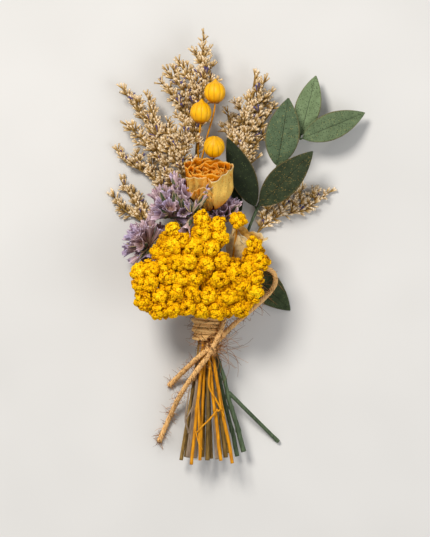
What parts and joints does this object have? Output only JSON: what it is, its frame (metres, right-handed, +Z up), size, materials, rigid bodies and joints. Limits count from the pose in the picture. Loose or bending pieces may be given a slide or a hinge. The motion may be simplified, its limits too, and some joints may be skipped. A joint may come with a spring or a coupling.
{
  "type": "dried flower bouquet",
  "caption": "Small hand-tied bunch of dried yarrow, statice, sea lavender, roses, seed pods and eucalyptus, bound with jute twine and lying on its back.",
  "frame": {"origin": "under the middle of the bunch, on the surface that it lies on", "axes": "+Z up from the surface to the front of the flowers, +Y from the cut stem ends to the flower tips, +X to the eucalyptus side"},
  "size_m": [0.1277, 0.2163, 0.0424],
  "materials": {
    "yarrow_flowers": "dry, crinkled, matt golden yellow flower heads",
    "dyed_stem": "thin golden yellow stems with fine ridges",
    "pod_skin": "smooth papery golden yellow skin, softly glossy, with ribs",
    "orange_petal": "dry crinkled orange petals with tan edges and cream outsides",
    "peach_petal": "dry pale peach petals with browned edges",
    "sepal": "dry olive brown sepals",
    "olive_stem": "olive brown stems with ridges and scars",
    "grey_stem": "grey brown stems",
    "statice_flowers": "pleated papery mauve funnels with green bracts",
    "eucalyptus_leaf": "leathery matt grey green leaves with dark specks and a midrib",
    "green_stem": "smooth dark green stems",
    "sea_lavender": "tiny dry cream tubes on gold brown twigs, with a few violet flowers",
    "jute_twine": "three-ply jute twine with loose hairs"
  },
  "bodies": {
    "root": {"eucalyptus_leaf_1": "eucalyptus_leaf", "eucalyptus_leaf_2": "eucalyptus_leaf", "eucalyptus_leaf_3": "eucalyptus_leaf", "eucalyptus_leaf_4": "eucalyptus_leaf", "eucalyptus_leaf_5": "eucalyptus_leaf", "eucalyptus_leaf_6": "eucalyptus_leaf", "eucalyptus_leaf_7": "eucalyptus_leaf", "eucalyptus_side_twig": "green_stem", "eucalyptus_stem_1": "green_stem", "eucalyptus_stem_2": "green_stem", "pod_stem": "dyed_stem", "rose_1_heart": "orange_petal", "rose_1_petal_1": "orange_petal", "rose_1_petal_2": "orange_petal", "rose_1_petal_3": "orange_petal", "rose_1_petal_4": "orange_petal", "rose_1_petal_5": "orange_petal", "rose_1_sepals": "sepal", "rose_1_stem": "olive_stem", "rose_2_heart": "peach_petal", "rose_2_petal_1": "peach_petal", "rose_2_petal_2": "peach_petal", "rose_2_petal_3": "peach_petal", "rose_2_petal_4": "peach_petal", "rose_2_sepals": "sepal", "rose_2_stem": "olive_stem", "sea_lavender_front": "sea_lavender", "sea_lavender_left": "sea_lavender", "sea_lavender_left_low": "sea_lavender", "sea_lavender_lower_right": "sea_lavender", "sea_lavender_lowest": "sea_lavender", "sea_lavender_right": "sea_lavender", "sea_lavender_tall": "sea_lavender", "seed_pod_1": "pod_skin", "seed_pod_2": "pod_skin", "seed_pod_3": "pod_skin", "statice_1_flowers": "statice_flowers", "statice_1_stem": "grey_stem", "statice_2_flowers": "statice_flowers", "statice_2_stem": "grey_stem", "statice_3_flowers": "statice_flowers", "statice_3_stem": "grey_stem", "twine_knot": "jute_twine", "twine_long_tail": "jute_twine", "twine_loop": "jute_twine", "twine_short_tail": "jute_twine", "twine_wrap": "jute_twine", "yarrow_head_centre": "yarrow_flowers", "yarrow_head_left": "yarrow_flowers", "yarrow_head_right": "yarrow_flowers", "yarrow_stem_centre": "dyed_stem", "yarrow_stem_left": "dyed_stem", "yarrow_stem_right": "dyed_stem"}
  },
  "joints": []
}
